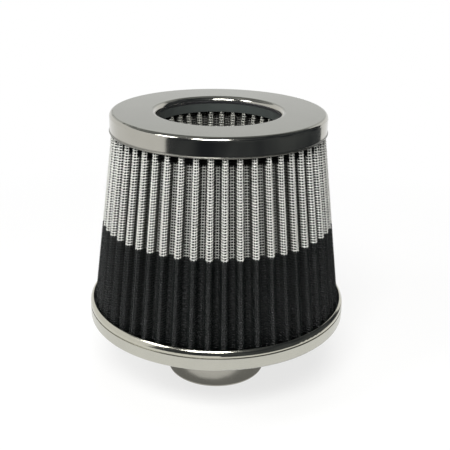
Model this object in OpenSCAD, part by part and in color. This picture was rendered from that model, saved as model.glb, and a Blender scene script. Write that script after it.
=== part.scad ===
/* [Neck] */
// Outside diameter of the neck that a hose slips over
neck_d = 60; // [50:0.5:70]
// Sheet thickness of the neck
neck_wall = 1.2; // [0.8:0.1:2]
// Length of the neck from its open rim to the underside of the pan
neck_len = 39.9; // [32:0.1:80]
// How far the swaged bead stands out of the neck under the pan
swage_out = 2.2; // [1.6:0.1:3]
// Thickness of the gasket between the bead and the pan
gasket_h = 1.5; // [0.8:0.1:3]
// Radial width of the gasket
gasket_w = 5; // [3:0.5:10]
// Thickness of the ring that the neck is rolled over, inside the pan
clench_h = 2; // [1.8:0.1:4]
// Radial width of the ring that the neck is rolled over
clench_w = 8; // [6:0.5:12]
// Width of the neck's rolled end on top of that ring
roll_w = 5; // [3:0.5:6]
// Inside radius of the bend in the neck's rolled end
roll_r = 1; // [0.6:0.1:1.5]

/* [Base pan] */
// Outside diameter of the pan
pan_d = 153.8; // [140:0.2:180]
// Height of the pan from its underside to the top of its rim
pan_h = 11.7; // [9:0.1:20]
// Sheet thickness of the pan
pan_wall = 0.9; // [0.6:0.1:1.4]
// Radius of the pan's lower outer edge
pan_edge_r = 1.3; // [1.2:0.1:3]
// Height of the rolled bead at the pan's rim
rim_h = 3.6; // [3.2:0.1:4.4]
// Radial width of the rolled bead at the pan's rim
rim_w = 2.1; // [1.8:0.1:2.2]
// Radius with which the bead's outer face rounds over to its top
rim_r = 3.6; // [2.2:0.1:3.8]
// Radius of the bead's inner edges
rim_edge_r = 0.45; // [0.3:0.05:0.6]
// Height of the groove under the rolled bead
groove_h = 0.9; // [0.6:0.1:1.2]
// Depth of the groove under the rolled bead
groove_depth = 0.6; // [0.3:0.1:0.8]
// Radius at the middle of the stiffening ridge pressed into the floor
ridge_at = 49; // [45:0.5:52]
// Outside radius of that ridge in section
ridge_r = 2.6; // [2:0.1:3.5]
// Height of the resin that holds the pack in the pan
pan_resin_h = 4.7; // [3:0.1:6]

/* [Top cap] */
// Outside diameter of the cap's skirt
cap_d = 123.4; // [110:0.2:136]
// Height of the cap from the edge of its skirt to the flat top
cap_h = 11; // [10:0.1:16]
// Sheet thickness of the cap
cap_wall = 0.6; // [0.5:0.1:1.2]
// Outside radius of the edge between the flat top and the skirt
cap_edge_r = 2.3; // [2:0.1:4]
// Radius of the wired hem along the edge of the skirt
hem_r = 0.5; // [0.4:0.05:0.9]
// Diameter of the opening in the cap
throat_d = 70.4; // [66:0.2:76]
// Outside radius of the rounded lip round the opening
lip_r = 3; // [2.4:0.1:5]
// Length of the lip's straight end below its rounding
lip_end = 1; // [0.5:0.1:3]

/* [Throat collar] */
// Wall of the collar's sleeve
collar_wall = 2.4; // [2:0.1:4]
// Height of the sleeve that shows under the lip
collar_h = 5.1; // [4:0.1:8]
// Thickness of the collar's flange over the inner pack
flange_h = 2.6; // [1.5:0.1:3.5]
// How far the flange reaches past the inner pack
flange_over = 1; // [0.5:0.1:2]

/* [Outer pack] */
// Number of pleats round the outer pack
pleats = 50; // [40:1:52]
// Height of the pack that shows between the pan and the cap
pack_show_h = 100.9; // [80:0.1:140]
// Depth of a pleat from its crest to the valley floor
pleat_depth = 4.9; // [3.5:0.1:7]
// Width of a pleat's rounded tip at the cap's skirt
tip_w_top = 3.3; // [3.2:0.05:3.6]
// Width of a pleat's rounded tip at the pan's rim
tip_w_low = 4.2; // [3.6:0.05:4.6]
// How far a pleat's shoulder lies below its crest
shoulder_drop = 0.9; // [0.5:0.05:1.2]
// How much wider a pleat is on each side at its root than at its shoulder
flank_run = 0.95; // [0.6:0.05:1.1]
// Largest angle by which a pleat stands off its even place
wander = 0.5; // [0:0.1:0.6]
// Length of the pack that reaches up into the cap
pack_sink = 3; // [1:0.1:4]
// Height of the pack's lower, black length above the rim of the pan
black_h = 47.3; // [20:0.1:70]

/* [Inner pack] */
// Number of pleats round the inner pack
inner_pleats = 33; // [24:1:33]
// Depth of an inner pleat from its crest to the valley floor
inner_depth = 4.5; // [3.5:0.1:6]
// Width of an inner pleat's tip
inner_tip_w = 3.2; // [3.15:0.01:3.3]
// How much wider an inner pleat is on each side at its root than at its tip
inner_run = 0.55; // [0.4:0.05:0.6]
// Height of the inner pack
inner_h = 76; // [50:0.5:82]
// Radius of the inner tips at the pack's lower end
inner_tip_low = 20.4; // [20.4:0.1:24]

/* [Plies] */
// Thickness of the wire cloth on the outside of a pack
cloth_t = 0.5; // [0.4:0.05:0.55]
// Thickness of the cotton gauze
gauze_t = 0.5; // [0.4:0.05:0.55]
// Thickness of the wire cloth behind the gauze
back_t = 0.4; // [0.3:0.05:0.45]
// Clearance between plies, and between the packs and what they seat on
ply_gap = 0.05; // [0.03:0.01:0.07]
// Width of the strip crimped over a pack's seam
seam_w = 4; // [2.5:0.1:4.5]
// Thickness of that strip
seam_t = 1; // [0.6:0.1:1.2]

/* [End cup] */
// Height of the cup that closes the inner pack
cup_h = 8; // [5:0.1:14]
// Sheet thickness of the cup
cup_wall = 0.8; // [0.6:0.1:1.2]
// Radius of the cup's lower edge
cup_edge_r = 2; // [1.5:0.1:3]
// Height of the resin in the cup
cup_resin_h = 3.4; // [2:0.1:4]
// Depth of the hollow in the middle of that resin
cup_dish = 1.6; // [0:0.1:1.8]
// Width of the full resin inside the tips of the inner pack
dish_land = 2; // [1:0.5:4]

/* [Fits] */
// Clearance of a tube in its hole and of resin in its pan
fit = 0.1; // [0.05:0.01:0.2]
// Clearance between the outer pleats and the cap's skirt
cap_clear = 0.1; // [0.1:0.05:0.5]
// Clearance between the outer pleats and the pan's rim
pan_clear = 0.8; // [0.3:0.05:1]

/* [Hidden] */
$fn = 96;

// Heights of the main levels above the neck's open rim
pan_z = neck_len;
rim_z = pan_z + pan_h;
skirt_z = rim_z + pack_show_h;
top_z = skirt_z + cap_h;
tone_z = rim_z + black_h;

// Radii of the sheet metal
neck_or = neck_d / 2;
pan_or = pan_d / 2;
cap_or = cap_d / 2;
cap_ir = cap_or - cap_wall;
throat_r = throat_d / 2;

// Levels inside the cap
cap_under_z = top_z - cap_wall;
lip_end_z = top_z - lip_r - lip_end;
collar_low_z = lip_end_z - collar_h;

// Both packs are three plies: wire cloth, gauze, wire cloth
gauze_from = cloth_t + ply_gap;
back_from = gauze_from + gauze_t + ply_gap;
pack_t = back_from + back_t;

// Ends of the outer pack, and the radius of its tips at the rim and the skirt
pack_low_z = pan_z + pan_wall + pan_resin_h + ply_gap;
pack_high_z = skirt_z + pack_sink;
rim_tip_r = pan_or - rim_w - pan_clear;
skirt_tip_r = cap_ir - cap_clear;

// Ends of the inner pack; its tips point at the axis, flush with the throat
inner_high_z = collar_low_z - ply_gap;
inner_low_z = inner_high_z - inner_h;
inner_tip_top = throat_r;
inner_out_top = inner_tip_top + inner_depth + pack_t;
inner_out_low = inner_tip_low + inner_depth + pack_t;
flange_r = inner_out_top + flange_over;

// Cup under the inner pack
cup_or = inner_out_low + inner_lean(cup_h) + fit + cup_wall;
cup_z = inner_low_z - ply_gap - cup_resin_h - cup_wall;

// Waves of the pleats' wander round a pack; the second beats with the first
WANDER_WAVE = 7;
WANDER_BEAT = 3;

// How far a cut runs past the face that it leaves
over = 1;

// Crest points of a pleat between its two shoulders, as shares of half the
// tip's width: a flat crest on the cloth, a ridge on the plies behind it
FLAT_CREST = [-0.5, 0.5];
RIDGE_CREST = [0];

// Radius that the inner pack gains over a height above its lower end
function inner_lean(h) = (inner_tip_top - inner_tip_low) * h / inner_h;

// Value at a height on the straight line through two given points
function on_line(z, z_a, v_a, z_b, v_b) = v_a + (v_b - v_a) * (z - z_a) / (z_b - z_a);

// Width of an outer pleat's tip at a height
function tip_w(z) = on_line(z, rim_z, tip_w_low, skirt_z, tip_w_top);

// Radius of the outer and of the inner pack's tips at a height
function outer_tip(z) = on_line(z, rim_z, rim_tip_r, skirt_z, skirt_tip_r);
function inner_tip(z) = on_line(z, inner_low_z, inner_tip_low, inner_high_z, inner_tip_top);

// Direction of a pleat, a little off its even place as hand-set pleats are
function pleat_at(i, n) =
    let (even = 360 * i / n)
    even + wander * sin(WANDER_WAVE * even) * cos(WANDER_BEAT * even);

// Point at a distance along a direction and a distance to its side
function beside(a, along, side) = [along * cos(a) - side * sin(a), along * sin(a) + side * cos(a)];

// Points of one ply face on a level. Each pleat runs from root to shoulder,
// over the crest points, and down from the other shoulder to its root, and
// the valley floor between two pleats takes up the rest. out is 1 where tips
// point outward and -1 where they point at the axis; t is the depth of the
// face in the pack, measured from the cloth that shows. The flanks keep one
// direction all the way up, so they are flat.
function pleat_ring(n, out, tip, depth, half_w, run, drop, crest, t, z) =
    let (side = half_w - t, top = tip - out * t)
    [
        for (i = [0 : n - 1])
            let (a = pleat_at(i, n))
            for (p = [
                beside(a, top - out * depth, -side - run),
                beside(a, top - out * drop, -side),
                for (c = crest) beside(a, top, c * side),
                beside(a, top - out * drop, side),
                beside(a, top - out * depth, side + run)
            ])
                [p.x, p.y, z]
    ];

// Closed wall between four rings of equal count: the outer face's lower and
// upper ring, then the inner face's lower and upper ring. Both faces are cut
// into triangles the same way, so plies that nest stay parallel.
module ringed_wall(outer_low, outer_high, inner_low, inner_high) {
    n = len(outer_low);
    function strip(from, to) = [
        for (i = [0 : n - 1])
            let (j = (i + 1) % n)
            for (f = [[from + i, to + i, to + j], [from + i, to + j, from + j]]) f
    ];
    function turned(faces) = [for (f = faces) [f.z, f.y, f.x]];
    polyhedron(
        points = concat(outer_low, outer_high, inner_low, inner_high),
        faces = concat(
            strip(0, n), strip(n, 3 * n), turned(strip(2 * n, 3 * n)), strip(2 * n, 0)
        )
    );
}

// One ply of the outer pack from depth t_a to t_b between two heights
module outer_ply(crest, t_a, t_b, z_a, z_b) {
    function ring(t, z) = pleat_ring(
        pleats, 1, outer_tip(z), pleat_depth, tip_w(z) / 2, flank_run,
        shoulder_drop, crest, t, z
    );
    ringed_wall(ring(t_a, z_a), ring(t_a, z_b), ring(t_b, z_a), ring(t_b, z_b));
}

// One ply of the inner pack from depth t_a to t_b, over the pack's height
module inner_ply(t_a, t_b) {
    function ring(t, z) = pleat_ring(
        inner_pleats, -1, inner_tip(z), inner_depth, inner_tip_w / 2, inner_run,
        0, [], t, z
    );
    ringed_wall(
        ring(t_b, inner_low_z), ring(t_b, inner_high_z),
        ring(t_a, inner_low_z), ring(t_a, inner_high_z)
    );
}

// Flat shapes of the sections below; x is the radius, y the height

// Quarter of a ring about a point; sx and sy pick the quarter
module quarter_ring(at, r_out, r_in, sx, sy) {
    translate(at) intersection() {
        difference() {
            circle(r = r_out);
            if (r_in > 0) circle(r = r_in);
        }
        translate([min(sx, 0) * r_out, min(sy, 0) * r_out]) square(r_out);
    }
}

// Upper half of a disc about a point
module half_disc(at, r) {
    translate(at) intersection() {
        circle(r = r);
        translate([-r, 0]) square([2 * r, r]);
    }
}

// Rectangle from one corner to the other
module span(a, b) {
    translate(a) square(b - a);
}

// Polished ring pressed from one sheet: flat top, skirt with a wired hem,
// and a lip that rolls down into the opening
module top_cap() {
    edge_r = cap_or - cap_edge_r;
    lip_out_r = throat_r + lip_r;
    color("gainsboro")
    rotate_extrude() {
        span([lip_out_r, cap_under_z], [edge_r, top_z]);
        quarter_ring([edge_r, top_z - cap_edge_r], cap_edge_r, cap_edge_r - cap_wall, 1, 1);
        span([cap_ir, skirt_z + hem_r], [cap_or, top_z - cap_edge_r]);
        translate([cap_ir + hem_r, skirt_z + hem_r]) circle(r = hem_r);
        quarter_ring([lip_out_r, top_z - lip_r], lip_r, lip_r - cap_wall, -1, 1);
        span([throat_r, lip_end_z], [throat_r + cap_wall, top_z - lip_r]);
    }
}

// Dark moulded ring under the lip, with a flange over the inner pack's end
module throat_collar() {
    color("dimgray")
    rotate_extrude() {
        span([throat_r, collar_low_z], [throat_r + collar_wall, lip_end_z - fit]);
        span([throat_r, collar_low_z], [flange_r, collar_low_z + flange_h]);
    }
}

// Resin cast into the cap round the collar; the outer pack ends in it
module top_potting() {
    high_z = cap_under_z - fit;
    low_z = pack_high_z + ply_gap;
    in_r = throat_r + collar_wall + fit;
    out_r = cap_ir - fit;
    lip_out_r = throat_r + lip_r;
    lip_round = lip_r - cap_wall - fit;
    edge_round = cap_edge_r - cap_wall - fit;
    color("darkslategray")
    rotate_extrude() {
        difference() {
            union() {
                span([lip_out_r, low_z], [out_r - edge_round, high_z]);
                quarter_ring([lip_out_r, high_z - lip_round], lip_round, 0, -1, 1);
                span([lip_out_r - lip_round, low_z], [lip_out_r, high_z - lip_round]);
                quarter_ring([out_r - edge_round, high_z - edge_round], edge_round, 0, 1, 1);
                span([out_r - edge_round, low_z], [out_r, high_z - edge_round]);
            }
            span([0, low_z - over], [in_r, high_z + over]);
            span([0, low_z - over], [flange_r + fit, collar_low_z + flange_h + fit]);
        }
    }
}

// Bright wire cloth over the outer pack, above the tone line
module outer_screen_bright() {
    color("silver") outer_ply(FLAT_CREST, 0, cloth_t, tone_z + ply_gap, pack_high_z);
}

// Black wire cloth over the outer pack, below the tone line
module outer_screen_black() {
    color([0.12, 0.13, 0.13])
    outer_ply(FLAT_CREST, 0, cloth_t, pack_low_z, tone_z);
}

// Pleated cotton gauze that does the filtering
module outer_gauze() {
    color("dimgray")
    outer_ply(RIDGE_CREST, gauze_from, gauze_from + gauze_t, pack_low_z, pack_high_z);
}

// Wire cloth behind the gauze, on the clean side
module outer_backing_screen() {
    color("darkgray")
    outer_ply(RIDGE_CREST, back_from, pack_t, pack_low_z, pack_high_z);
}

// Metal strip crimped over a pack's seam. It lies behind one valley floor
// and follows the lean of the pack, from radius r_low to r_high at its ends.
module seam_strip(a, r_low, r_high, z_low, z_high) {
    lean = atan((r_high - r_low) / (z_high - z_low));
    rotate(a)
    intersection() {
        translate([r_low, 0, z_low])
        rotate([0, lean, 0])
        translate([0, -seam_w / 2, -seam_w])
        cube([seam_t, seam_w, z_high - z_low + 2 * seam_w]);
        translate([0, -seam_w, z_low])
        cube([cap_or + pan_or, 2 * seam_w, z_high - z_low]);
    }
}

// Direction of the valley nearest to the far side, where a seam lies
function back_valley(n) =
    let (i = round(n / 4))
    (pleat_at(i, n) + pleat_at(i + 1, n)) / 2;

// Radial room that a strip takes across its own lean
function seam_room(r_low, r_high, h) = seam_t * sqrt(1 + pow((r_high - r_low) / h, 2));

module outer_seam_strip() {
    z_low = pack_low_z + ply_gap;
    z_high = pack_high_z - ply_gap;
    behind = pleat_depth + pack_t + fit;
    r_low = outer_tip(z_low) - behind;
    r_high = outer_tip(z_high) - behind;
    room = seam_room(r_low, r_high, z_high - z_low);
    color("darkgray")
    seam_strip(back_valley(pleats), r_low - room, r_high - room, z_low, z_high);
}

// Wire cloth on the side of the inner pack that faces the axis
module inner_screen() {
    color("silver") inner_ply(0, cloth_t);
}

// Cotton gauze of the inner pack
module inner_gauze() {
    color("dimgray") inner_ply(gauze_from, gauze_from + gauze_t);
}

// Wire cloth behind the gauze of the inner pack
module inner_backing_screen() {
    color("darkgray") inner_ply(back_from, pack_t);
}

module inner_seam_strip() {
    z_low = cup_z + cup_h + fit;
    z_high = inner_high_z - ply_gap;
    behind = inner_depth + pack_t + fit;
    color("darkgray")
    seam_strip(
        back_valley(inner_pleats),
        inner_tip(z_low) + behind, inner_tip(z_high) + behind, z_low, z_high
    );
}

// Pressed cup that closes the lower end of the inner pack
module cone_end_cup() {
    edge_r = cup_or - cup_edge_r;
    color("gainsboro")
    rotate_extrude() {
        span([0, cup_z], [edge_r, cup_z + cup_wall]);
        quarter_ring([edge_r, cup_z + cup_edge_r], cup_edge_r, cup_edge_r - cup_wall, 1, -1);
        span([cup_or - cup_wall, cup_z + cup_edge_r], [cup_or, cup_z + cup_h - cup_wall / 2]);
        translate([cup_or - cup_wall / 2, cup_z + cup_h - cup_wall / 2]) circle(r = cup_wall / 2);
    }
}

// Resin in the cup, hollowed in the middle where nothing stands in it
module cone_end_potting() {
    low_z = cup_z + cup_wall + fit;
    high_z = inner_low_z - ply_gap;
    out_r = cup_or - cup_wall - fit;
    round_r = cup_edge_r - cup_wall;
    dish_r = inner_tip_low - dish_land;
    color("darkslategray")
    rotate_extrude() {
        span([0, low_z], [out_r - round_r, high_z - cup_dish]);
        span([dish_r, low_z], [out_r - round_r, high_z]);
        quarter_ring([out_r - round_r, low_z + round_r], round_r, 0, 1, -1);
        span([out_r - round_r, low_z + round_r], [out_r, high_z]);
    }
}

// Section of the bead rolled at the pan's rim: a long arc runs up from its
// outer face and meets the short arc of the inner edge
module rim_bead() {
    in_r = pan_or - rim_w;
    low_z = rim_z - rim_h;
    long_r = pan_or - rim_r;
    short_r = in_r + rim_edge_r;
    rise = sqrt(pow(rim_r - rim_edge_r, 2) - pow(short_r - long_r, 2));
    short_z = rim_z - rim_edge_r;
    long_z = short_z - rise;
    way = atan2(rise, short_r - long_r);
    intersection() {
        translate([long_r, long_z]) circle(r = rim_r);
        translate([long_r, long_z])
            polygon([[0, 0], [2 * rim_r, 0], 2 * rim_r * [cos(way), sin(way)]]);
        span([in_r, long_z], [pan_or + over, rim_z]);
    }
    for (z = [low_z + rim_edge_r, short_z])
        translate([short_r, z]) circle(r = rim_edge_r);
    span([in_r, low_z + rim_edge_r], [short_r, short_z]);
    span([short_r, low_z], [pan_or, long_z]);
}

// Polished pan pressed from one sheet: floor with a stiffening ridge and a
// hole for the neck, wall with a groove, and a rolled bead for a rim
module base_pan() {
    wall_r = pan_or - pan_wall;
    edge_r = pan_or - pan_edge_r;
    groove_top_z = rim_z - rim_h;
    groove_z = groove_top_z - groove_h;
    color("gainsboro")
    rotate_extrude() {
        difference() {
            union() {
                span([neck_or + fit, pan_z], [edge_r, pan_z + pan_wall]);
                half_disc([ridge_at, pan_z], ridge_r);
            }
            half_disc([ridge_at, pan_z], ridge_r - pan_wall);
        }
        quarter_ring([edge_r, pan_z + pan_edge_r], pan_edge_r, pan_edge_r - pan_wall, 1, -1);
        difference() {
            union() {
                span([wall_r, pan_z + pan_edge_r], [pan_or, groove_top_z]);
                span([wall_r - groove_depth, groove_z - pan_wall], [wall_r, groove_top_z]);
            }
            span([pan_or - groove_depth, groove_z], [pan_or + over, groove_top_z + over]);
        }
        rim_bead();
    }
}

// Resin cast into the pan; the outer pack stands on it
module base_potting() {
    low_z = pan_z + pan_wall;
    out_r = pan_or - pan_wall - fit;
    in_r = outer_tip(pack_low_z) - pleat_depth - pack_t - 2 * seam_t;
    groove_z = rim_z - rim_h - groove_h - pan_wall;
    round_r = pan_edge_r - pan_wall;
    color("darkslategray")
    rotate_extrude()
    difference() {
        union() {
            span([in_r, low_z + fit], [out_r - round_r, low_z + pan_resin_h]);
            quarter_ring([out_r - round_r, low_z + fit + round_r], round_r, 0, 1, -1);
            span([out_r - round_r, low_z + fit + round_r], [out_r, low_z + pan_resin_h]);
        }
        span([out_r - groove_depth, groove_z - fit], [pan_or, rim_z]);
    }
}

// Polished neck: plain tube with a rounded open rim, a swaged bead under the
// pan, and an upper end rolled out over the clench ring
module neck() {
    neck_ir = neck_or - neck_wall;
    rim_round = neck_wall / 2;
    swage_r = swage_out + rim_round;
    swage_z = pan_z - gasket_h - swage_r;
    roll_z = pan_z + pan_wall + clench_h + fit;
    color("gainsboro")
    rotate_extrude() {
        translate([neck_ir + rim_round, rim_round]) circle(r = rim_round);
        span([neck_ir, rim_round], [neck_or, swage_z - swage_r + neck_wall]);
        quarter_ring([neck_ir + rim_round, swage_z], swage_r, swage_r - neck_wall, 1, -1);
        quarter_ring([neck_ir + rim_round, swage_z], swage_r, swage_r - neck_wall, 1, 1);
        span([neck_ir, swage_z + swage_r - neck_wall], [neck_or, roll_z - roll_r]);
        quarter_ring([neck_or + roll_r, roll_z - roll_r], roll_r + neck_wall, roll_r, -1, 1);
        span([neck_or + roll_r, roll_z], [neck_or + roll_w, roll_z + neck_wall]);
    }
}

// Gasket between the neck's bead and the pan
module neck_gasket() {
    color([0.1, 0.1, 0.1])
    translate([0, 0, pan_z - gasket_h])
    difference() {
        cylinder(h = gasket_h, r = neck_or + gasket_w);
        translate([0, 0, -over]) cylinder(h = gasket_h + 2 * over, r = neck_or + fit);
    }
}

// Steel ring inside the pan that the neck is rolled over
module clench_ring() {
    in_r = neck_or + fit;
    out_r = neck_or + clench_w;
    low_z = pan_z + pan_wall;
    color("lightgray")
    rotate_extrude() {
        span([in_r + roll_r, low_z], [out_r, low_z + clench_h]);
        span([in_r, low_z], [in_r + roll_r, low_z + clench_h - roll_r]);
        quarter_ring([in_r + roll_r, low_z + clench_h - roll_r], roll_r, 0, -1, 1);
    }
}

top_cap();
throat_collar();
top_potting();
outer_screen_bright();
outer_screen_black();
outer_gauze();
outer_backing_screen();
outer_seam_strip();
inner_screen();
inner_gauze();
inner_backing_screen();
inner_seam_strip();
cone_end_cup();
cone_end_potting();
base_pan();
base_potting();
neck();
neck_gasket();
clench_ring();
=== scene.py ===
"""Dresses the conical pleated air filter: woven wire cloth, cotton gauze and polished steel."""

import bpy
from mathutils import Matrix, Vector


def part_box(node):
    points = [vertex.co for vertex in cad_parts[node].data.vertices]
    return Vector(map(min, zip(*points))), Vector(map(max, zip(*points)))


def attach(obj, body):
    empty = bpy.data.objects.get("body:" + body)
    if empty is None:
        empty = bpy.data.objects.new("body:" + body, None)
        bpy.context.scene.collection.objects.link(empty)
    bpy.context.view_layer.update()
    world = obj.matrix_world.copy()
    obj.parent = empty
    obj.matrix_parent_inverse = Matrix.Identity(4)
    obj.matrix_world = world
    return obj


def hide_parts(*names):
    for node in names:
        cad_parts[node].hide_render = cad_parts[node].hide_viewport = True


bl_info = {
    "name": "Performance Air Filter",
    "version": (1, 0, 0),
    "blender": (4, 5, 0),
    "location": "View3D > Sidebar > Air Filter",
    "description": "Adds woven wire, gauze and polished sheet metal to a conical air filter",
    "category": "Add Mesh",
}

import math

import bpy
import numpy as np
from bpy.props import FloatProperty, FloatVectorProperty, IntProperty, PointerProperty
from mathutils import Matrix, Vector

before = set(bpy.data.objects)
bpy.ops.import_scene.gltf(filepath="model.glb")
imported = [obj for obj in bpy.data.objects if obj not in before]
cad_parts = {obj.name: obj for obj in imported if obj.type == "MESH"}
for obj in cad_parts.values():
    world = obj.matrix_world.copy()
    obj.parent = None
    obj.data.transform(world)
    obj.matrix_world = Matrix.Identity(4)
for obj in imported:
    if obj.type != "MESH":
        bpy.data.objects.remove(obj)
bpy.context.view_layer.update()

MM = 0.001
# Nearly black painted shade in the folds of the cloth, just under the cap and the collar
RIM_FOLD_SHADE = "#101111"


# Colours and nodes

def linear(colour):
    """Linear RGBA of an sRGB colour written as #rrggbb."""
    parts = [int(colour[i:i + 2], 16) / 255 for i in (1, 3, 5)]
    return [p / 12.92 if p <= 0.04045 else ((p + 0.055) / 1.055) ** 2.4 for p in parts] + [1.0]


def add_node(tree, kind, inputs=None, stops=(), **settings):
    """Add a node; inputs maps a socket's name or number to a value or to a socket to link.

    stops are the (place, colour) pairs of a colour ramp.
    """
    node = tree.nodes.new(kind)
    for name, value in settings.items():
        setattr(node, name, value)
    for name, value in (inputs or {}).items():
        if isinstance(value, bpy.types.NodeSocket):
            tree.links.new(value, node.inputs[name])
        else:
            node.inputs[name].default_value = value
    if stops:
        elements = node.color_ramp.elements
        # A new stop may stand anywhere, since all are placed next
        while len(elements) < len(stops):
            elements.new(0.5)
        for element, (place, colour) in zip(elements, stops):
            element.position = place
            element.color = colour
    return node


def new_material(name):
    """Empty node material and its tree."""
    material = bpy.data.materials.new(name)
    material.use_nodes = True
    material.node_tree.nodes.clear()
    return material, material.node_tree


def finish_material(tree, inputs):
    """Principled shader with the given inputs, linked to the output."""
    shader = add_node(tree, "ShaderNodeBsdfPrincipled", inputs)
    add_node(tree, "ShaderNodeOutputMaterial", {"Surface": shader.outputs["BSDF"]})


def grey(value):
    """Linear RGBA of one even value."""
    return (value, value, value, 1.0)


def ring_coordinates(tree):
    """Object coordinates of a point, its radius from the part's axis and its height."""
    place = add_node(tree, "ShaderNodeTexCoord").outputs["Object"]
    parts = add_node(tree, "ShaderNodeSeparateXYZ", {"Vector": place})
    flat = add_node(
        tree, "ShaderNodeCombineXYZ", {"X": parts.outputs["X"], "Y": parts.outputs["Y"]}
    )
    radius = add_node(
        tree, "ShaderNodeVectorMath", {0: flat.outputs["Vector"]}, operation="LENGTH"
    )
    return place, radius.outputs["Value"], parts.outputs["Z"]


# Materials

def polished_steel(name, colour, roughness, bands=()):
    """Stainless sheet, spun and polished on a lathe.

    The polishing leaves fine lines round the axis, which pull every highlight out sideways.
    bands are (low, high, reach, colour, roughness) of what was left coarser than the rest:
    two heights, the radius up to which the band reaches, and its finish.
    """
    # The real lines are about 0.15 mm apart; they are drawn wider so that they show
    line_width = 0.4 * MM
    line_depth = 0.05 * MM
    fine_lines = 0.02
    coarse_lines = 0.10
    # Clouds that handling leaves, from an eighth darker to a little brighter than the sheet
    cloud_width = 18 * MM
    dull = 0.88
    clear = 1.04
    wear = 0.03
    # A band blends into the rest over twice this
    edge = 0.2 * MM
    material, tree = new_material(name)
    place, radius, height = ring_coordinates(tree)
    rings = add_node(tree, "ShaderNodeCombineXYZ", {"X": radius, "Z": height}).outputs["Vector"]
    lines = add_node(
        tree, "ShaderNodeTexNoise",
        {"Vector": rings, "Scale": 1 / line_width, "Detail": 3.0, "Roughness": 0.6},
    ).outputs["Fac"]
    clouds = add_node(
        tree, "ShaderNodeTexNoise", {"Vector": place, "Scale": 1 / cloud_width, "Detail": 4.0}
    ).outputs["Fac"]
    rough = add_node(
        tree, "ShaderNodeMapRange",
        {"Value": clouds, "To Min": roughness - wear, "To Max": roughness + wear},
    ).outputs["Result"]
    sheet = add_node(tree, "ShaderNodeRGB")
    sheet.outputs[0].default_value = colour
    finish = sheet.outputs[0]
    coarse = 0.0
    for low, high, reach, band_colour, band_roughness in bands:
        share = 1.0
        for value, outside, inside in (
            (height, low - edge, low + edge),
            (height, high + edge, high - edge),
            (radius, reach + edge, reach - edge),
        ):
            within = add_node(
                tree, "ShaderNodeMapRange",
                {"Value": value, "From Min": outside, "From Max": inside},
            ).outputs["Result"]
            share = add_node(
                tree, "ShaderNodeMath", {0: share, 1: within}, operation="MULTIPLY"
            ).outputs["Value"]
        rough = add_node(
            tree, "ShaderNodeMapRange",
            {"Value": share, "To Min": rough, "To Max": band_roughness},
        ).outputs["Result"]
        finish = add_node(
            tree, "ShaderNodeMix",
            {"Factor": share, "A": finish, "B": band_colour}, data_type="RGBA",
        ).outputs[2]
        coarse = add_node(
            tree, "ShaderNodeMath", {0: share, 1: coarse}, operation="MAXIMUM"
        ).outputs["Value"]
    tone = add_node(
        tree, "ShaderNodeMapRange", {"Value": clouds, "To Min": dull, "To Max": clear}
    ).outputs["Result"]
    tint = add_node(
        tree, "ShaderNodeVectorMath", {0: finish, "Scale": tone}, operation="SCALE")
    strength = add_node(
        tree, "ShaderNodeMapRange",
        {"Value": coarse, "To Min": fine_lines, "To Max": coarse_lines},
    ).outputs["Result"]
    bump = add_node(
        tree, "ShaderNodeBump",
        {"Height": lines, "Strength": strength, "Distance": line_depth},
    ).outputs["Normal"]
    finish_material(
        tree,
        {
            "Base Color": tint.outputs["Vector"],
            "Metallic": 1.0,
            "Roughness": rough,
            "Anisotropic": 0.4,
            "Normal": bump,
        },
    )
    return material


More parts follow.
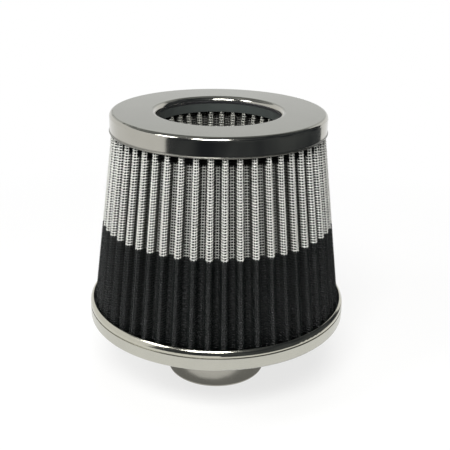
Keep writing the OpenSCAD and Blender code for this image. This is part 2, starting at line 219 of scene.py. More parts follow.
def drawn_wire(name, colour, fold_shade, start, floor, rim_shade_from, roughness, metallic, coat):
    """Drawn wire with patches of oxide, and painted shade inside the folds.

    The cloth's attribute fold is 0 on a tip and 1 on the floor between two pleats. The painted
    shade fold_shade begins at start, and floor is its share on the floor, where it is weaker
    again. From the height rim_shade_from upwards, the folds are painted nearly black as well:
    painted shade under the cap and the collar.
    """
    # Patches of oxide are a few wires wide and keep this share of the brightness
    patch_width = 6 * MM
    oxide = 0.8
    uneven = 0.06
    # The painted shade is full this much deeper than it begins, and thins out between two depths
    onset = 0.2
    thins_from = 0.88
    thins_to = 0.97
    # The nearly black painted shade under the rims begins this much before the other, and its lower
    # edge blends over twice this
    rim_shade_lead = 0.1
    rim_shade_edge = 0.4 * MM
    material, tree = new_material(name)
    place = add_node(tree, "ShaderNodeTexCoord").outputs["Object"]
    patches = add_node(
        tree, "ShaderNodeTexNoise", {"Vector": place, "Scale": 1 / patch_width, "Detail": 3.0}
    ).outputs["Fac"]
    tone = add_node(
        tree, "ShaderNodeMix",
        {"Factor": patches, "A": [c * oxide for c in colour], "B": colour}, data_type="RGBA",
    )
    fold = add_node(tree, "ShaderNodeAttribute", attribute_name="fold").outputs["Fac"]
    # Share of painted shade, from the tips into the folds
    share = add_node(
        tree, "ShaderNodeValToRGB", {"Fac": fold},
        stops=[
            (start, grey(0.0)), (start + onset, grey(1.0)),
            (thins_from, grey(1.0)), (thins_to, grey(floor)),
        ],
    ).outputs["Color"]
    # Wire colour with the painted shade of the folds
    shaded_tone = add_node(
        tree, "ShaderNodeMix", {"Factor": share, "A": tone.outputs[2], "B": fold_shade},
        data_type="RGBA",
    )
    height = add_node(tree, "ShaderNodeSeparateXYZ", {"Vector": place}).outputs["Z"]
    above = add_node(
        tree, "ShaderNodeMapRange",
        {"Value": height, "From Min": rim_shade_from - rim_shade_edge, "From Max": rim_shade_from + rim_shade_edge},
    ).outputs["Result"]
    inside = add_node(
        tree, "ShaderNodeMapRange",
        {"Value": fold, "From Min": start - rim_shade_lead, "From Max": start},
    ).outputs["Result"]
    # Mask of the nearly black painted shade in the folds under the cap and the collar
    resin = add_node(tree, "ShaderNodeMath", {0: above, 1: inside}, operation="MULTIPLY")
    # Wire colour with the painted shade under the rims
    rim_shaded_tone = add_node(
        tree, "ShaderNodeMix",
        {"Factor": resin.outputs["Value"], "A": shaded_tone.outputs[2], "B": linear(RIM_FOLD_SHADE)},
        data_type="RGBA",
    )
    rough = add_node(
        tree, "ShaderNodeMapRange",
        {"Value": patches, "To Min": roughness - uneven, "To Max": roughness + uneven},
    ).outputs["Result"]
    finish_material(
        tree,
        {
            "Base Color": rim_shaded_tone.outputs[2],
            "Metallic": metallic,
            "Roughness": rough,
            "Coat Weight": coat,
            "Coat Roughness": 0.2,
        },
    )
    return material


def cotton_gauze(name, colour):
    """Dyed cotton gauze: a dull open weave of soft yarn, with fluff that took the dye darker."""
    yarn_spacing = 0.5 * MM
    yarn_depth = 0.2 * MM
    fluff_width = 3 * MM
    shade = 0.6
    material, tree = new_material(name)
    place = add_node(tree, "ShaderNodeTexCoord").outputs["Object"]
    yarn = add_node(
        tree, "ShaderNodeTexVoronoi", {"Vector": place, "Scale": 1 / yarn_spacing}
    ).outputs["Distance"]
    fluff = add_node(
        tree, "ShaderNodeTexNoise", {"Vector": place, "Scale": 1 / fluff_width, "Detail": 5.0}
    ).outputs["Fac"]
    tone = add_node(
        tree, "ShaderNodeMix",
        {"Factor": fluff, "A": [c * shade for c in colour], "B": colour}, data_type="RGBA",
    )
    bump = add_node(
        tree, "ShaderNodeBump", {"Height": yarn, "Strength": 0.5, "Distance": yarn_depth}
    ).outputs["Normal"]
    finish_material(
        tree,
        {
            "Base Color": tone.outputs[2],
            "Roughness": 0.95,
            "Sheen Weight": 0.2,
            "Normal": bump,
        },
    )
    return material


def moulded(name, colour, roughness, grain):
    """Moulded rubber or cast resin: one dull colour with a fine grain, and faint clouds in it."""
    grain_depth = 0.05 * MM
    cloud_width = 12 * MM
    shade = 0.85
    uneven = 0.08
    material, tree = new_material(name)
    place = add_node(tree, "ShaderNodeTexCoord").outputs["Object"]
    fine = add_node(
        tree, "ShaderNodeTexNoise", {"Vector": place, "Scale": 1 / grain, "Detail": 2.0}
    ).outputs["Fac"]
    clouds = add_node(
        tree, "ShaderNodeTexNoise", {"Vector": place, "Scale": 1 / cloud_width, "Detail": 3.0}
    ).outputs["Fac"]
    tone = add_node(
        tree, "ShaderNodeMix",
        {"Factor": clouds, "A": [c * shade for c in colour], "B": colour}, data_type="RGBA",
    )
    rough = add_node(
        tree, "ShaderNodeMapRange",
        {"Value": clouds, "To Min": roughness - uneven, "To Max": roughness + uneven},
    ).outputs["Result"]
    bump = add_node(
        tree, "ShaderNodeBump", {"Height": fine, "Strength": 0.2, "Distance": grain_depth}
    ).outputs["Normal"]
    finish_material(
        tree, {"Base Color": tone.outputs[2], "Roughness": rough, "Normal": bump}
    )
    return material


def cloth_sheet(name, colour, gap_colour, pitch):
    """Wire cloth as a pattern, for the screens that only show deep inside."""
    # The pattern is 0 along a wire's middle; a wire ends at one value, and the gap begins at
    # the other
    wire_end = 0.25
    gap_start = 0.5
    wire_gloss = 0.9
    wire_height = 0.2 * MM
    material, tree = new_material(name)
    place, radius, height = ring_coordinates(tree)
    parts = add_node(tree, "ShaderNodeSeparateXYZ", {"Vector": place})
    turn = add_node(
        tree, "ShaderNodeMath",
        {0: parts.outputs["Y"], 1: parts.outputs["X"]}, operation="ARCTAN2",
    ).outputs["Value"]
    along = add_node(
        tree, "ShaderNodeMath", {0: turn, 1: radius}, operation="MULTIPLY"
    ).outputs["Value"]
    waves = []
    for length in (along, height):
        cycles = add_node(
            tree, "ShaderNodeMath", {0: length, 1: math.pi / pitch}, operation="MULTIPLY"
        ).outputs["Value"]
        wave = add_node(tree, "ShaderNodeMath", {0: cycles}, operation="SINE").outputs["Value"]
        waves.append(
            add_node(tree, "ShaderNodeMath", {0: wave}, operation="ABSOLUTE").outputs["Value"]
        )
    wires = add_node(
        tree, "ShaderNodeMath", {0: waves[0], 1: waves[1]}, operation="MINIMUM"
    ).outputs["Value"]
    tone = add_node(
        tree, "ShaderNodeValToRGB", {"Fac": wires},
        stops=[(wire_end, colour), (gap_start, gap_colour)],
    ).outputs["Color"]
    gloss = add_node(
        tree, "ShaderNodeMapRange",
        {
            "Value": wires, "From Min": wire_end, "From Max": gap_start,
            "To Min": wire_gloss, "To Max": 0.0,
        },
    ).outputs["Result"]
    bump = add_node(
        tree, "ShaderNodeBump",
        {"Height": wires, "Strength": 0.6, "Distance": wire_height}, invert=True,
    ).outputs["Normal"]
    finish_material(
        tree, {"Base Color": tone, "Metallic": gloss, "Roughness": 0.4, "Normal": bump}
    )
    return material


# Settings

class PackSizes(bpy.types.PropertyGroup):
    """Sizes of the two pleated packs, as their solids have them."""

    pleats: IntProperty(name="Outer pleats", description="Pleats round the outer pack", default=50)
    depth: FloatProperty(
        name="Outer depth", description="Crest to valley floor", default=4.9 * MM, unit="LENGTH")
    tip_top: FloatProperty(
        name="Tip at cap", description="Width of a tip at the cap", default=3.3 * MM, unit="LENGTH")
    tip_low: FloatProperty(
        name="Tip at pan", description="Width of a tip at the pan", default=4.2 * MM, unit="LENGTH")
    drop: FloatProperty(
        name="Shoulder drop", description="Shoulder below the crest", default=0.9 * MM,
        unit="LENGTH")
    run: FloatProperty(
        name="Flank run", description="Widening of a pleat on each side", default=0.95 * MM,
        unit="LENGTH")
    inner_pleats: IntProperty(
        name="Inner pleats", description="Pleats round the inner pack", default=33)
    inner_depth: FloatProperty(
        name="Inner depth", description="Crest to valley floor", default=4.5 * MM, unit="LENGTH")
    inner_tip: FloatProperty(
        name="Inner tip", description="Width of an inner tip", default=3.2 * MM, unit="LENGTH")
    inner_run: FloatProperty(
        name="Inner run", description="Widening of an inner pleat", default=0.55 * MM,
        unit="LENGTH")
    inner_low: FloatProperty(
        name="Inner foot", description="Radius of the inner tips at the foot",
        default=20.4 * MM, unit="LENGTH")
    inner_top: FloatProperty(
        name="Inner top", description="Radius of the inner tips at the collar",
        default=35.2 * MM, unit="LENGTH")
    wander: FloatProperty(
        name="Wander", description="Uneven set of the pleats",
        default=math.radians(0.5), unit="ROTATION", subtype="ANGLE")
    bend: FloatProperty(
        name="Bend", description="Length over which a fold is rounded", default=0.4 * MM,
        unit="LENGTH")
    gauze: FloatProperty(
        name="Gauze", description="Thickness of the gauze", default=0.5 * MM, unit="LENGTH")


class WeaveSizes(bpy.types.PropertyGroup):
    """Sizes of the woven wire."""

    upright: FloatProperty(
        name="Upright wire", description="Diameter of the wires that run up a pleat",
        default=0.27 * MM, unit="LENGTH")
    round: FloatProperty(
        name="Round wire", description="Diameter of the wires that run round the pack",
        default=0.52 * MM, unit="LENGTH")
    pitch: FloatProperty(
        name="Pitch", description="Spacing of the wires up a pleat", default=1.48 * MM,
        unit="LENGTH")
    wires_per_pleat: IntProperty(
        name="Wires per pleat", description="Upright wires over one outer pleat", default=10)
    inner_wires: IntProperty(
        name="Wires per inner pleat", description="Upright wires over one inner pleat",
        default=9)


class FinishColours(bpy.types.PropertyGroup):
    """Colours of the finishes that show most."""

    bright_wire: FloatVectorProperty(
        name="Bright wire", description="Clean wire of the bright cloth",
        default=linear("#FFFFF9"), size=4, min=0.0, max=1.0, subtype="COLOR")
    black_wire: FloatVectorProperty(
        name="Black wire", description="Coated wire of the black cloth",
        default=linear("#040C0A"), size=4, min=0.0, max=1.0, subtype="COLOR")
    # Darker than the bright wire, though it is the same aluminium: painted shade deep in the throat
    inner_wire: FloatVectorProperty(
        name="Inner wire", description="Clean wire of the inner pack's cloth",
        default=linear("#D8D8CE"), size=4, min=0.0, max=1.0, subtype="COLOR")
    gauze: FloatVectorProperty(
        name="Gauze", description="Dyed gauze of both packs",
        default=linear("#101111"), size=4, min=0.0, max=1.0, subtype="COLOR")
    cap: FloatVectorProperty(
        name="Cap", description="Polished sheet of the cap and the neck",
        default=linear("#B1AFA6"), size=4, min=0.0, max=1.0, subtype="COLOR")
    pan: FloatVectorProperty(
        name="Pan", description="Polished sheet of the base pan",
        default=linear("#BDBBAE"), size=4, min=0.0, max=1.0, subtype="COLOR")
    collar: FloatVectorProperty(
        name="Collar", description="Moulded ring under the cap's lip",
        default=linear("#454A48"), size=4, min=0.0, max=1.0, subtype="COLOR")


class StudioSettings(bpy.types.PropertyGroup):
    """Camera and light."""

    back: FloatProperty(
        name="Distance", description="Camera's distance in front of the axis", default=0.4322,
        unit="LENGTH")
    height: FloatProperty(
        name="Height", description="Camera's height over the neck's rim", default=0.2620,
        unit="LENGTH")
    pitch: FloatProperty(
        name="Pitch", description="Downward tilt of the camera",
        default=math.radians(21.288), unit="ROTATION", subtype="ANGLE")
    yaw: FloatProperty(
        name="Yaw", description="Turn of the camera to its right",
        default=math.radians(0.53), unit="ROTATION", subtype="ANGLE")
    roll: FloatProperty(
        name="Roll", description="Roll of the camera", default=math.radians(0.901),
        unit="ROTATION", subtype="ANGLE")
    aside: FloatProperty(
        name="Aside", description="Camera's place to the right of the axis",
        default=0.0005, unit="LENGTH")
    lens: FloatProperty(
        name="Lens", description="Focal length over a 36 mm sensor, in millimetres",
        default=61.96)
    key: FloatProperty(
        name="Key", description="Lamp above the camera, in watts", default=14.0)
    side: FloatProperty(name="Side", description="Lamp at the left, in watts", default=4.0)
    fill: FloatProperty(name="Fill", description="Overhead lamp, in watts", default=5.0)
    sky: FloatProperty(name="Sky", description="Strength of the even room light", default=0.25)


def settings():
    """The scene's settings of the air filter."""
    return bpy.context.scene.air_filter


# Objects

def deselect():
    """Leave edit mode and select nothing."""
    if bpy.context.object and bpy.context.object.mode != "OBJECT":
        bpy.ops.object.mode_set(mode="OBJECT")
    bpy.ops.object.select_all(action="DESELECT")


def mesh_piece(name, points, faces, material):
    """Smooth object at the origin from an array of points and a list of arrays of faces."""
    mesh = bpy.data.meshes.new(name)
    mesh.from_pydata(points.tolist(), [], [f for block in faces for f in block.tolist()])
    mesh.polygons.foreach_set("use_smooth", [True] * len(mesh.polygons))
    mesh.update()
    piece = bpy.data.objects.new(name, mesh)
    bpy.context.scene.collection.objects.link(piece)
    piece.data.materials.append(material)
    return piece


def seat(piece, slot, *nodes):
    """The piece rides on the part and stands for the nodes; slot is not used."""
    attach(piece, "root")
    if nodes:
        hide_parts(*nodes)


# Pleats

# Waves of the pleats' wander round a pack, as in the solids; the second beats with the first
WANDER_WAVE = 7
WANDER_BEAT = 3
# A pleat's corners beside those of its crest: two on the floor and two at the shoulders
PLAIN_CORNERS = 4
# Points that control the curve at each corner
CORNER_POINTS = 3
# Steps between two of these points when the line is measured
STEPS_BETWEEN = 6


class PleatLine:
    """Smooth line round one face of a pack, at any height and depth.

    Lines of an outer pack have out 1 and those of an inner pack, whose tips point to the
    axis, -1. radius_at and half_at give the tips' radius and half width at a height, and
    crest holds the crest's corners as shares of that half width.
    """

    def __init__(self, count, out, radius_at, half_at, depth, run, drop, crest, wander, bend):
        self.count = count
        self.out = out
        self.radius_at = radius_at
        self.half_at = half_at
        self.depth = depth
        self.run = run
        self.drop = drop
        self.crest = crest
        self.bend = bend
        even = 2 * np.pi * np.arange(count) / count
        self.turns = even + wander * np.sin(WANDER_WAVE * even) * np.cos(WANDER_BEAT * even)
        self.points = CORNER_POINTS * (PLAIN_CORNERS + len(crest))

    def control(self, z, t):
        """Points that control the line at a height, t behind the face that shows."""
        tip = self.radius_at(z) - self.out * t
        side = self.half_at(z) - t
        local = (
            [(tip - self.out * self.depth, -side - self.run), (tip - self.out * self.drop, -side)]
            + [(tip, c * side) for c in self.crest]
            + [(tip - self.out * self.drop, side), (tip - self.out * self.depth, side + self.run)]
        )
        along, aside = np.array(local).T
        cos, sin = np.cos(self.turns)[:, None], np.sin(self.turns)[:, None]
        corners = np.stack(
            [along * cos - aside * sin, along * sin + aside * cos], axis=-1
        ).reshape(-1, 2)
        # A point close on each side of every corner keeps the curve tight there
        beside = []
        for shift in (1, -1):
            way = np.roll(corners, shift, axis=0) - corners
            way /= np.linalg.norm(way, axis=1)[:, None]
            beside.append(corners + self.bend * way)
        return np.stack([beside[0], corners, beside[1]], axis=1).reshape(-1, 2)

    def spline(self, z, places, t=0.0):
        """Points and outward normals of the rounded line at places along its control points.

        The line is a uniform cubic B-spline; weights are its basis and slopes their slopes.
        """
        controls = self.control(z, t)
        total = len(controls)
        whole = np.floor(places).astype(int)
        f = places - whole
        weights = [
            (1 - f) ** 3 / 6, (3 * f**3 - 6 * f**2 + 4) / 6,
            (-3 * f**3 + 3 * f**2 + 3 * f + 1) / 6, f**3 / 6,
        ]
        slopes = [
            -((1 - f) ** 2) / 2, (3 * f**2 - 4 * f) / 2,
            (-3 * f**2 + 2 * f + 1) / 2, f**2 / 2,
        ]
        point = sum(w[:, None] * controls[(whole + k - 1) % total] for k, w in enumerate(weights))
        run = sum(w[:, None] * controls[(whole + k - 1) % total] for k, w in enumerate(slopes))
        normal = np.stack([run[:, 1], -run[:, 0]], axis=-1)
        normal /= np.linalg.norm(normal, axis=1)[:, None]
        return point, normal * self.out

    def fold(self, z, points, t=0.0):
        """How deep in the folds points at a height lie: 0 on the tips, 1 on the floors."""
        radius = np.linalg.norm(points, axis=1)
        behind = self.out * (self.radius_at(z) - radius) - t
        return np.clip(behind / self.depth, 0, 1)

    def even_places(self, number, z, t=0.0):
        """Places that lie evenly along the line's length at a height."""
        total = self.count * self.points
        fine = np.linspace(0, total, total * STEPS_BETWEEN + 1)
        points, _ = self.spline(z, fine, t)
        steps = np.linalg.norm(np.diff(points, axis=0), axis=1)
        length = np.concatenate([[0], np.cumsum(steps)])
        return np.interp(np.arange(number) / number * length[-1], length, fine)


def between(z_a, v_a, z_b, v_b):
    """Straight line through two given values over height."""
    return lambda z: v_a + (v_b - v_a) * (z - z_a) / (z_b - z_a)


def outer_line():
    """Line of the outer pack, from the boxes of the solids and the sizes of a pleat."""
    sizes = settings().packs
    bright_low, bright_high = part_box("outer_screen_bright")
    black_low, black_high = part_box("outer_screen_black")
    pan_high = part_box("base_pan")[1]
    cap_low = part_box("top_cap")[0]
    # Share of a tip's width that is flat
    flat = 0.5
    return PleatLine(
        sizes.pleats, 1,
        between(black_low.z, black_high.x, bright_low.z, bright_high.x),
        between(pan_high.z, sizes.tip_low / 2, cap_low.z, sizes.tip_top / 2),
        sizes.depth, sizes.run, sizes.drop, (-flat, flat), sizes.wander, sizes.bend,
    )


def inner_line():
    """Line of the inner pack, whose tips have no shoulders and one width all the way up."""
    sizes = settings().packs
    low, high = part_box("inner_screen")
    return PleatLine(
        sizes.inner_pleats, -1,
        between(low.z, sizes.inner_low, high.z, sizes.inner_top),
        lambda z: sizes.inner_tip / 2,
        sizes.inner_depth, sizes.inner_run, 0.0, (), sizes.wander, sizes.bend,
    )


# Woven wire

# Sides of a wire's tube
SIDES = 4
# Radius of a tube's corners as a share of the wire's diameter: a little over a half, so that
# four sides look as thick as the round wire
REACH = 0.55


def cloth_depth():
    """How far the middle of the woven cloth lies behind its outer face."""
    weave = settings().weave
    sway = REACH * (weave.upright + weave.round) / 2
    return sway + REACH * max(weave.upright, weave.round)


def tube_faces(per_wire, wires, closed):
    """Quads of many equal tubes; each ring has SIDES points, and a closed tube joins its ends."""
    ring = np.arange(per_wire if closed else per_wire - 1)[None, :, None]
    side = np.arange(SIDES)
    base = (np.arange(wires) * per_wire)[:, None, None]
    here = (base + ring) * SIDES
    there = (base + (ring + 1) % per_wire) * SIDES
    quads = np.stack(
        [here + side, here + (side + 1) % SIDES, there + (side + 1) % SIDES, there + side],
        axis=-1,
    ).reshape(-1, 4)
    if closed:
        return [quads]
    starts = base[:, :, 0] * SIDES
    return [quads, starts + side[::-1], starts + (per_wire - 1) * SIDES + side]


def woven(name, line, wires_per_pleat, rows, row_from, ends, z_even, material):
    """Plain-woven cloth over a pleat line: upright wires and round wires as two pieces.

    At each crossing one of the two passes over, in turn, so that neither cuts the other.
    rows are the heights of the round wires, row_from the number of the first one, ends the
    heights at which the upright wires are cut, and z_even where these stand evenly.
    """
    weave = settings().weave
    depth = cloth_depth()
    number = line.count * wires_per_pleat
    places = line.even_places(number, z_even, depth)
    heights = np.concatenate([[ends[0]], rows, [ends[1]]])
    centre = np.empty((len(heights), number, 3))
    normal = np.zeros((len(heights), number, 3))
    folds = np.empty((len(heights), number))
    for k, z in enumerate(heights):
        point, outward = line.spline(z, places, depth)
        folds[k] = line.fold(z, point, depth)
        centre[k, :, :2] = point
        centre[k, :, 2] = z
        normal[k, :, :2] = outward
    up = np.array([0.0, 0.0, 1.0])
    round_way = np.cross(up, normal)
    count = row_from - 1 + np.arange(len(heights))
    sign = (-1.0) ** (count[:, None] + np.arange(number)[None, :])
    # The cut ends of the upright wires lie straight
    sign[[0, -1]] = 0
    sway = (REACH * (weave.upright + weave.round) / 2 * sign)[..., None] * normal
    turns = 2 * np.pi * np.arange(SIDES) / SIDES
    pieces = []
    for kind, wire, middle, aside in (
        ("upright", weave.upright, centre + sway, round_way),
        ("round", weave.round, (centre - sway)[1:-1], np.broadcast_to(up, normal.shape)[1:-1]),
    ):
        outward = normal if kind == "upright" else normal[1:-1]
        ring = middle[..., None, :] + REACH * wire * (
            np.cos(turns)[:, None] * outward[..., None, :]
            + np.sin(turns)[:, None] * aside[..., None, :]
        )
        if kind == "upright":
            ring = ring.transpose(1, 0, 2, 3)
            faces = [f[:, ::-1] for f in tube_faces(len(heights), number, False)]
            fold = folds.T
        else:
            faces = tube_faces(number, len(rows), True)
            fold = folds[1:-1]
        piece = mesh_piece(f"{name}_{kind}", ring.reshape(-1, 3), faces, material)
        attribute = piece.data.attributes.new("fold", "FLOAT", "POINT")
        attribute.data.foreach_set("value", np.repeat(fold.reshape(-1), SIDES))
        pieces.append(piece)
    return pieces


def pleated_sheet(name, line, number, depth, thickness, z_low, z_high, material):
    """Closed smooth pleated sheet between two depths behind the face that shows."""
    places = line.even_places(number, (z_low + z_high) / 2)
    rings = []
    for t in (depth, depth + thickness):
        for z in (z_low, z_high):
            point, _ = line.spline(z, places, t)
            rings.append(np.column_stack([point, np.full(number, z)]))
    here = np.arange(number)
    there = (here + 1) % number

    def strip(a, b):
        return np.stack(
            [a * number + here, a * number + there, b * number + there, b * number + here],
            axis=-1,
        )

    faces = [strip(0, 1), strip(1, 3), strip(3, 2), strip(2, 0)]
    if line.out < 0:
        faces = [f[:, ::-1] for f in faces]
    return mesh_piece(name, np.concatenate(rings), faces, material)


# Operators

class AIRFILTER_OT_outer_cloth(bpy.types.Operator):
    """Weave the bright and the black wire cloth over the outer pack"""

    bl_idname = "airfilter.outer_cloth"
    bl_label = "Outer cloth"

    def execute(self, context):
        weave = settings().weave
        colours = settings().colours
        line = outer_line()
        bright_low, bright_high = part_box("outer_screen_bright")
        black_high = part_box("outer_screen_black")[1]
        pan_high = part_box("base_pan")[1]
        cap_low, cap_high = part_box("top_cap")
        tone = black_high.z
        lean = (line.radius_at(bright_high.z) - line.radius_at(tone)) / (bright_high.z - tone)
        step = weave.pitch / math.hypot(1, lean)
        # How far the cloth goes on below the pan's rim, and how far below the skirt the folds are
        # painted nearly black as shade, which never reaches the black half
        inside_pan = 3 * MM
        rim_shade_depth = 5 * MM
        above = np.arange(tone + step / 2, bright_high.z - step / 2, step)
        below = np.arange(tone - step / 2, pan_high.z - inside_pan, -step)[::-1]
        # The second colour of each wire is painted shade in its folds
        bright_wire = drawn_wire(
            "bright aluminium wire", colours.bright_wire, linear("#484944"),
            start=0.36, floor=0.42, rim_shade_from=cap_low.z - rim_shade_depth,
            roughness=0.3, metallic=0.4, coat=0.0,
        )
        black_wire = drawn_wire(
            "black epoxy coated wire", colours.black_wire, linear("#020706"),
            start=0.12, floor=0.0, rim_shade_from=cap_high.z,
            roughness=0.42, metallic=0.0, coat=0.1,
        )
        zones = (
            ("bright", above, 0, (bright_low.z, bright_high.z), bright_wire,
             "bright_cloth", "outer_screen_bright"),
            ("black", below, -len(below), (below[0] - step / 2, black_high.z), black_wire,
             "black_cloth", "outer_screen_black"),
        )
        for zone, rows, row_from, ends, material, slot, node in zones:
            pieces = woven(
                f"outer_cloth_{zone}", line, weave.wires_per_pleat, rows, row_from, ends,
                tone, material,
            )
            for piece in pieces:
                seat(piece, slot, node)
        return {"FINISHED"}


class AIRFILTER_OT_inner_cloth(bpy.types.Operator):
    """Weave the bright wire cloth over the inner pack"""

    bl_idname = "airfilter.inner_cloth"
    bl_label = "Inner cloth"

    def execute(self, context):
        weave = settings().weave
        low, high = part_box("inner_screen")
        # How far below the collar the folds are painted nearly black as shade
        rim_shade_depth = 1.5 * MM
        rows = np.arange(high.z - weave.pitch / 2, low.z + weave.round, -weave.pitch)
        # The second colour is painted shade in the folds
        material = drawn_wire(
            "aluminium wire in shade", settings().colours.inner_wire, linear("#40413D"),
            start=0.1, floor=0.75, rim_shade_from=high.z - rim_shade_depth,
            roughness=0.3, metallic=0.4, coat=0.0,
        )
        pieces = woven(
            "inner_cloth", inner_line(), weave.inner_wires, rows[::-1], 0,
            (low.z, high.z), high.z, material,
        )
        for piece in pieces:
            seat(piece, "bright_cloth", "inner_screen")
        return {"FINISHED"}


class AIRFILTER_OT_gauze(bpy.types.Operator):
    """Fold the cotton gauze of both packs"""

    bl_idname = "airfilter.gauze"
    bl_label = "Gauze"

    def execute(self, context):
        sizes = settings().packs
        weave = settings().weave
        material = cotton_gauze("dyed cotton gauze", settings().colours.gauze)
        for pack, line, wires in (
            ("outer", outer_line(), weave.wires_per_pleat),
            ("inner", inner_line(), weave.inner_wires),
        ):
            low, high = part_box(f"{pack}_gauze")
            # The cloth is two wires thick, a little more than the skin it stands for
            piece = pleated_sheet(
                f"{pack}_gauze_sheet", line, line.count * wires, 2 * cloth_depth(),
                sizes.gauze, low.z, high.z, material,
            )
            seat(piece, "cotton_gauze", f"{pack}_gauze")
        return {"FINISHED"}


class AIRFILTER_OT_node_finishes(bpy.types.Operator):
    """Give every solid of the frame its finish"""

    bl_idname = "airfilter.node_finishes"
    bl_label = "Finishes"

    def execute(self, context):
        colours = settings().colours
        cap_low, cap_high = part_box("top_cap")
        pan_low, pan_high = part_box("base_pan")
        # A radius beyond the whole part, and one that takes in only the cap's lip
        everywhere = 1.0
        lip_reach = 45 * MM
        hem = (cap_low.z - 1 * MM, cap_low.z + 1.4 * MM, everywhere, linear("#8A8982"), 0.3)
        flat = (cap_high.z - 0.3 * MM, cap_high.z + 1 * MM, everywhere, linear("#83847A"), 0.16)
        lip_end = (
            cap_high.z - 5 * MM, cap_high.z - 2.4 * MM, lip_reach, linear("#77777A"), 0.42)
        plain_band = (pan_low.z, pan_high.z - 4 * MM, everywhere, linear("#BCBBB1"), 0.22)
        finishes = {
            "top_cap": polished_steel(
                "polished stainless cap", colours.cap, 0.11, (hem, flat, lip_end)),
            "base_pan": polished_steel(
                "polished stainless pan", colours.pan, 0.13, (plain_band,)),
            "neck": polished_steel("polished stainless neck", colours.cap, 0.26),
            "cone_end_cup": polished_steel("plain pressed steel", linear("#A9A9A4"), 0.33),
            "throat_collar": moulded(
                "moulded grey rubber", colours.collar, 0.42, grain=0.3 * MM),
            "neck_gasket": moulded("cut rubber sheet", linear("#1C1C1C"), 0.7, grain=0.4 * MM),
            "top_potting": moulded(
                "cast potting resin", linear("#2B2E30"), 0.45, grain=0.8 * MM),
            "outer_backing_screen": cloth_sheet(
                "wire cloth over gauze", linear("#B9BAB5"), linear("#1E2020"),
                pitch=1.54 * MM),
        }
        finishes["clench_ring"] = finishes["cone_end_cup"]
        for strip in ("outer_seam_strip", "inner_seam_strip"):
            finishes[strip] = finishes["cone_end_cup"]
        for resin in ("base_potting", "cone_end_potting"):
            finishes[resin] = finishes["top_potting"]
        finishes["inner_backing_screen"] = finishes["outer_backing_screen"]
        for name, material in finishes.items():
            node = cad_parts[name]
            node.data.materials.clear()
            node.data.materials.append(material)
        return {"FINISHED"}


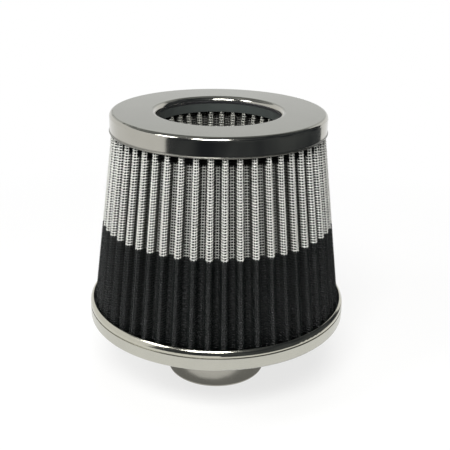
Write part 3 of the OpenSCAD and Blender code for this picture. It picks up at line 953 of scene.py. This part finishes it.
class AIRFILTER_OT_stage(bpy.types.Operator):
    """Set the camera, the pale floor, the room light and the lamps"""

    bl_idname = "airfilter.stage"
    bl_label = "Stage"

    def execute(self, context):
        studio = settings().studio
        self.camera(context, studio)
        self.floor()
        self.room(context, studio)
        self.cards()
        self.lamps(studio)
        context.scene.view_settings.view_transform = "Standard"
        return {"FINISHED"}

    def camera(self, context, studio):
        """Camera at the photograph's place, turned and rolled as it was."""
        data = bpy.data.cameras.new("camera")
        data.lens = studio.lens
        data.sensor_width = 36.0
        camera = bpy.data.objects.new("camera", data)
        context.scene.collection.objects.link(camera)
        camera.matrix_world = (
            Matrix.Translation((studio.aside, -studio.back, studio.height))
            @ Matrix.Rotation(-studio.yaw, 4, "Z")
            @ Matrix.Rotation(math.pi / 2 - studio.pitch, 4, "X")
            @ Matrix.Rotation(studio.roll, 4, "Z")
        )
        context.scene.camera = camera

    def seen(self, tree, path):
        """1 for what the camera sees, by itself or in a polished or clear surface."""
        seen = add_node(
            tree, "ShaderNodeMath",
            {0: path.outputs["Is Camera Ray"], 1: path.outputs["Is Glossy Ray"]},
            operation="MAXIMUM",
        ).outputs["Value"]
        return add_node(
            tree, "ShaderNodeMath",
            {0: seen, 1: path.outputs["Is Transmission Ray"]}, operation="MAXIMUM",
        ).outputs["Value"]

    def floor(self):
        """Pale floor that shows white, with the object's shadow on it."""
        # Between these distances from the axis the floor fades from near_white to white
        near = 0.12
        far = 0.45
        near_white = 0.72
        deselect()
        bpy.ops.mesh.primitive_circle_add(vertices=96, radius=6.0, fill_type="NGON")
        floor = bpy.context.object
        floor.name = "floor"
        material, tree = new_material("white paper floor")
        paper = add_node(tree, "ShaderNodeBsdfDiffuse", {"Color": linear("#F4F4F2")})
        path = add_node(tree, "ShaderNodeLightPath")
        glow = add_node(tree, "ShaderNodeEmission", {"Color": grey(1.0), "Strength": 1.0})
        place = add_node(tree, "ShaderNodeTexCoord").outputs["Object"]
        distance = add_node(
            tree, "ShaderNodeVectorMath", {0: place}, operation="LENGTH").outputs["Value"]
        white = add_node(
            tree, "ShaderNodeMapRange",
            {
                "Value": distance, "From Min": near, "From Max": far,
                "To Min": near_white, "To Max": 1.0,
            },
        ).outputs["Result"]
        share = add_node(
            tree, "ShaderNodeMath", {0: self.seen(tree, path), 1: white}, operation="MULTIPLY")
        mix = add_node(
            tree, "ShaderNodeMixShader",
            {0: share.outputs["Value"], 1: paper.outputs["BSDF"], 2: glow.outputs["Emission"]},
        )
        add_node(tree, "ShaderNodeOutputMaterial", {"Surface": mix.outputs["Shader"]})
        floor.data.materials.append(material)

    def room(self, context, studio):
        """Even room light; the camera and every reflection see it white."""
        world = bpy.data.worlds.new("room")
        world.use_nodes = True
        tree = world.node_tree
        tree.nodes.clear()
        path = add_node(tree, "ShaderNodeLightPath")
        strength = add_node(
            tree, "ShaderNodeMapRange",
            {"Value": self.seen(tree, path), "To Min": studio.sky, "To Max": 1.0},
        )
        light = add_node(
            tree, "ShaderNodeBackground",
            {"Color": grey(1.0), "Strength": strength.outputs["Result"]},
        )
        add_node(tree, "ShaderNodeOutputWorld", {"Surface": light.outputs["Background"]})
        context.scene.world = world

    def cards(self):
        """Cards that only reflections see; they draw the darker bands on the polished rings.

        A dark one lies in front of the paper and stands up behind the camera, from a bright
        left side round to the right. A grey one closes the room above the bright back wall,
        and a small paler one under the pan is a painted shadow of the pan on the paper.
        """
        axis = (0, 0)
        pan_shadow = (8 * MM, 36 * MM)
        # A card ends this near to its own middle, and lies this high over the floor
        hole = 2 * MM
        raised = 2 * MM
        # Width of the patches that stand dark or pale in the room, and how sharp they are
        patch_width = 0.5
        dark_below = 0.38
        pale_above = 0.62
        # Distance from the axis at which the paper ends, and the radius of the pan's painted shadow
        paper_end = 0.24
        pan_shadow_radius = 74 * MM
        # Corners of the room's wall and ceiling, as radius and height
        room = ((1.5, 1.0), (1.0, 1.5), (hole, 1.7))
        # left and right are directions in degrees: 0 is the camera's, and 90 its right hand's
        for name, dark, pale, left, right, centre, profile in (
            ("front_card", "#2B2E33", "#55585A", -52, 128, axis,
             ((paper_end, raised), (1.5, raised)) + room),
            ("ceiling_card", "#6A6D70", "#A4A6A6", 128, 308, axis, ((1.38, 1.12),) + room[1:]),
            # A painted shadow of the pan on the paper, which only reflections see
            ("pan_shadow_card", "#858582", "#919190", 0, 360, pan_shadow,
             ((hole, raised / 2), (pan_shadow_radius, raised / 2))),
        ):
            material, tree = new_material(f"{name} paint")
            place = add_node(tree, "ShaderNodeTexCoord").outputs["Object"]
            patches = add_node(
                tree, "ShaderNodeTexNoise",
                {"Vector": place, "Scale": 1 / patch_width, "Detail": 3.0},
            ).outputs["Fac"]
            tone = add_node(
                tree, "ShaderNodeValToRGB", {"Fac": patches},
                stops=[(dark_below, linear(dark)), (pale_above, linear(pale))],
            ).outputs["Color"]
            light = add_node(tree, "ShaderNodeEmission", {"Color": tone})
            add_node(tree, "ShaderNodeOutputMaterial", {"Surface": light.outputs["Emission"]})
            deselect()
            start = math.radians(left)
            ahead = Vector((math.sin(start), -math.cos(start), 0))
            # One point is drawn out along the profile and spun
            bpy.ops.mesh.primitive_plane_add(size=20 * MM)
            card = bpy.context.object
            card.name = name
            bpy.ops.object.mode_set(mode="EDIT")
            bpy.ops.mesh.merge(type="CENTER")
            pole = Vector((*centre, 0))
            corners = [pole + r * ahead + Vector((0, 0, z)) for r, z in profile]
            bpy.ops.transform.translate(value=corners[0])
            for here, there in zip(corners, corners[1:]):
                bpy.ops.mesh.extrude_region_move(
                    TRANSFORM_OT_translate={"value": there - here})
            bpy.ops.mesh.select_all(action="SELECT")
            bpy.ops.mesh.spin(
                steps=32, angle=-math.radians(right - left), center=pole, axis=(0, 0, 1))
            bpy.ops.object.mode_set(mode="OBJECT")
            card.data.materials.append(material)
            card.visible_camera = False
            card.visible_diffuse = False
            card.visible_shadow = False

    def lamps(self, studio):
        """Key lamp above the camera, one at the left and a soft one overhead.

        Reflections don't show the overhead one.
        """
        part_middle = Vector((0, 0, 0.1))
        for name, watts, width, depth, place in (
            ("key_lamp", studio.key, 0.6, 0.3, (-0.12, -0.82, 0.98)),
            ("side_lamp", studio.side, 0.38, 0.3, (-0.85, -0.45, 0.98)),
            ("overhead_lamp", studio.fill, 0.9, 0.9, (0.1, 0.3, 1.3)),
        ):
            data = bpy.data.lights.new(name, "AREA")
            data.energy = watts
            data.shape = "RECTANGLE"
            data.size = width
            data.size_y = depth
            lamp = bpy.data.objects.new(name, data)
            bpy.context.scene.collection.objects.link(lamp)
            lamp.location = place
            lamp.visible_glossy = name != "overhead_lamp"
            aim = part_middle - Vector(place)
            lamp.rotation_euler = aim.to_track_quat("-Z", "Y").to_euler()


class AIRFILTER_PT_panel(bpy.types.Panel):
    """Operators and sizes of the air filter"""

    bl_idname = "AIRFILTER_PT_panel"
    bl_label = "Air Filter"
    bl_space_type = "VIEW_3D"
    bl_region_type = "UI"
    bl_category = "Air Filter"

    def draw(self, context):
        for operator in STEPS:
            self.layout.operator(operator.bl_idname)
        parts = settings()
        for group in (parts.packs, parts.weave, parts.colours, parts.studio):
            box = self.layout.box()
            for name in group.__annotations__:
                box.prop(group, name)


class AirFilterSettings(bpy.types.PropertyGroup):
    """All settings of the air filter."""

    packs: PointerProperty(type=PackSizes)
    weave: PointerProperty(type=WeaveSizes)
    colours: PointerProperty(type=FinishColours)
    studio: PointerProperty(type=StudioSettings)


# In the order in which they run
STEPS = (
    AIRFILTER_OT_outer_cloth,
    AIRFILTER_OT_inner_cloth,
    AIRFILTER_OT_gauze,
    AIRFILTER_OT_node_finishes,
    AIRFILTER_OT_stage,
)
CLASSES = (
    PackSizes, WeaveSizes, FinishColours, StudioSettings, AirFilterSettings,
    *STEPS, AIRFILTER_PT_panel,
)


def register():
    for cls in CLASSES:
        bpy.utils.register_class(cls)
    bpy.types.Scene.air_filter = PointerProperty(type=AirFilterSettings)


def unregister():
    del bpy.types.Scene.air_filter
    for cls in reversed(CLASSES):
        bpy.utils.unregister_class(cls)


def main():
    """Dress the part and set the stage."""
    register()
    for step in STEPS:
        group, name = step.bl_idname.split(".")
        getattr(getattr(bpy.ops, group), name)()


if __name__ == "__main__":
    main()
